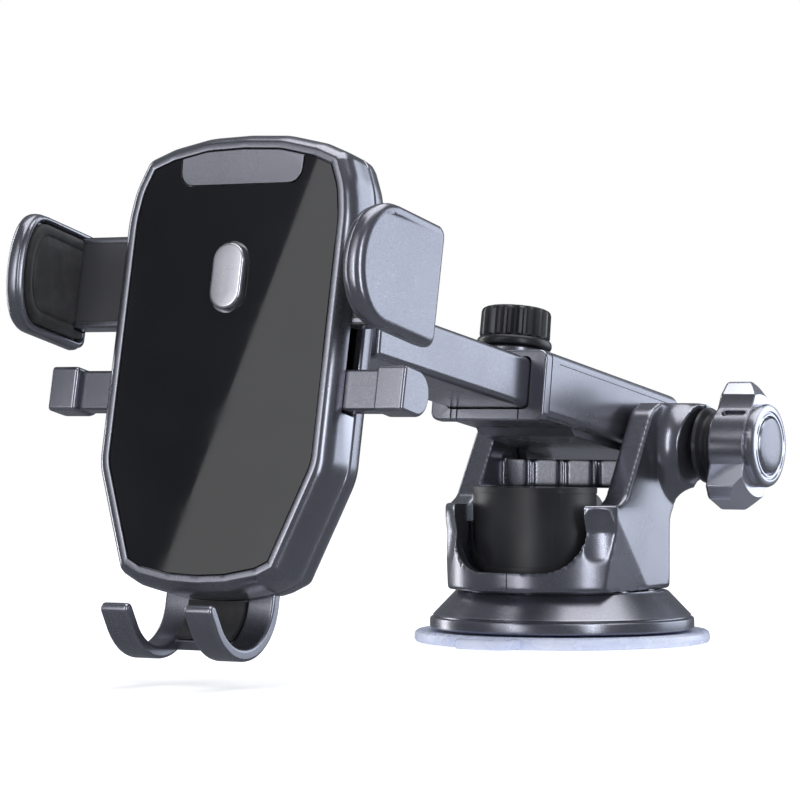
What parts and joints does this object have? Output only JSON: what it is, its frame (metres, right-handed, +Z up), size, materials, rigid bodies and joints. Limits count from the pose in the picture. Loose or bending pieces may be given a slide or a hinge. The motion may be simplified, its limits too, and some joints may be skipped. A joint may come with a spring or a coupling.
{
  "type": "car phone mount",
  "caption": "Dashboard suction mount with a tilting telescopic arm, a ball joint and a spring-jaw phone holder with a hooked foot.",
  "frame": {"origin": "centre of the suction disc's underside, where it meets the dashboard", "axes": "+Z up off the dashboard, -Y along the arm towards the phone holder and the driver, X along the arm's hinge bolt with +X at the clamp knob"},
  "size_m": [0.105, 0.2398, 0.1292],
  "materials": {
    "gunmetal": "satin metallic gunmetal paint on ABS",
    "black_plastic": "satin black ABS",
    "gloss_panel": "high gloss black",
    "black_rubber": "soft matte rubber",
    "silver_plastic": "silver metallic",
    "steel": "zinc plated",
    "clear_gel": "clear tacky gel"
  },
  "bodies": {
    "base": {"gel_suction_cup": "clear_gel", "suction_skirt": "gunmetal", "skirt_screw_1": "steel", "skirt_screw_2": "steel", "skirt_screw_3": "steel", "skirt_screw_4": "steel", "base_housing": "gunmetal", "cam_wear_plate": "steel", "hinge_bolt": "steel", "hinge_far_washer": "black_plastic", "hinge_near_washer": "black_plastic", "hinge_spacer": "black_plastic", "stem_spring": "steel"},
    "stem": {"lift_stem": "steel", "lever_pin": "steel"},
    "lever": {"lock_lever": "black_plastic"},
    "clamp_knob": {"hinge_knob": "gunmetal", "hinge_knob_cap": "gunmetal", "hinge_nut": "steel"},
    "arm": {"outer_arm": "gunmetal", "mouth_collar": "gunmetal", "brake_pad": "black_rubber"},
    "lock_knob": {"arm_lock_knob": "black_plastic", "arm_lock_screw": "steel"},
    "telescope": {"inner_arm": "gunmetal", "ball_stud": "steel", "stud_nut": "steel"},
    "ball_liner": {"ball_liner": "black_rubber"},
    "ball_washer": {"ball_rear_washer": "black_plastic"},
    "holder": {"ball_socket": "black_plastic", "rear_shell": "gunmetal", "front_bezel": "gunmetal", "front_panel": "gloss_panel", "top_insert": "gunmetal", "head_screw_1": "steel", "head_screw_2": "steel", "head_screw_3": "steel", "head_screw_4": "steel", "pinion_axle": "steel", "button_spring": "steel", "clamp_spring": "steel"},
    "lock_ring": {"socket_lock_ring": "gunmetal"},
    "left_clamp": {"left_slider": "black_plastic", "left_jaw": "gunmetal", "left_jaw_pad": "black_rubber", "left_lower_hook": "gunmetal"},
    "right_clamp": {"right_slider": "black_plastic", "right_jaw": "gunmetal", "right_jaw_pad": "black_rubber", "right_lower_hook": "gunmetal"},
    "pinion": {"pinion_gear": "black_plastic"},
    "button": {"release_button": "silver_plastic", "ratchet_pawl": "steel"},
    "foot": {"support_foot": "gunmetal", "foot_pad": "black_rubber"}
  },
  "joints": [
    {"name": "lever_flip", "type": "hinge", "parent": "stem", "child": "lever", "pos_m": [0, 0, 0.031], "axis": [-1, 0, 0], "range_deg": [0, 35]},
    {"name": "stem_lift", "type": "slide", "parent": "base", "child": "stem", "axis": [0, 0, 1], "range_m": [-0.0021, 0.0001], "deforming": ["stem_spring"]},
    {"name": "clamp_knob_turn", "type": "hinge", "parent": "base", "child": "clamp_knob", "pos_m": [0.045, 0.02, 0.053], "axis": [1, 0, 0], "continuous": true},
    {"name": "arm_tilt", "type": "hinge", "parent": "base", "child": "arm", "pos_m": [0, 0.02, 0.053], "axis": [-1, 0, 0], "range_deg": [-8, 85]},
    {"name": "lock_knob_turn", "type": "hinge", "parent": "arm", "child": "lock_knob", "pos_m": [0, -0.02787, 0.07678], "axis": [0, 0.1564, 0.9877], "continuous": true},
    {"name": "arm_extend", "type": "slide", "parent": "arm", "child": "telescope", "axis": [0, -0.9877, 0.1564], "range_m": [-0.03, 0.004]},
    {"name": "ball_pan", "type": "hinge", "parent": "telescope", "child": "ball_liner", "pos_m": [0, -0.13298, 0.08432], "axis": [0, 0.2079, 0.9781], "range_deg": [-20, 20]},
    {"name": "ball_tilt", "type": "hinge", "parent": "ball_liner", "child": "ball_washer", "pos_m": [0, -0.13298, 0.08432], "axis": [1, 0, 0], "range_deg": [-20, 20]},
    {"name": "ball_roll", "type": "hinge", "parent": "ball_washer", "child": "holder", "pos_m": [0, -0.13298, 0.08432], "axis": [0, 0.9781, -0.2079], "continuous": true},
    {"name": "lock_ring_turn", "type": "hinge", "parent": "holder", "child": "lock_ring", "pos_m": [0, -0.13298, 0.08432], "axis": [0, 0.9781, -0.2079], "continuous": true},
    {"name": "left_clamp_slide", "type": "slide", "parent": "holder", "child": "left_clamp", "axis": [-1, 0, 0], "range_m": [-0.0065, 0.003], "deforming": ["clamp_spring"]},
    {"name": "right_clamp_slide", "type": "slide", "parent": "holder", "child": "right_clamp", "axis": [1, 0, 0], "range_m": [-0.0065, 0.003]},
    {"name": "pinion_turn", "type": "hinge", "parent": "holder", "child": "pinion", "pos_m": [0, -0.15891, 0.09412], "axis": [0, 0.9781, -0.2079], "range_deg": [-36, 82]},
    {"name": "button_press", "type": "slide", "parent": "holder", "child": "button", "axis": [0, 0.9781, -0.2079], "range_m": [0, 0.0012], "stiffness_N_per_m": 400, "springref_m": -0.0004, "deforming": ["button_spring"]},
    {"name": "foot_slide", "type": "slide", "parent": "holder", "child": "foot", "axis": [0, -0.2079, -0.9781], "range_m": [0, 0.012]}
  ],
  "couplings": [
    {"joint": "stem_lift", "follows": "lever_flip", "m_per_rad": -0.003274},
    {"joint": "right_clamp_slide", "follows": "left_clamp_slide", "ratio": 1},
    {"joint": "pinion_turn", "follows": "left_clamp_slide", "rad_per_m": -200}
  ]
}
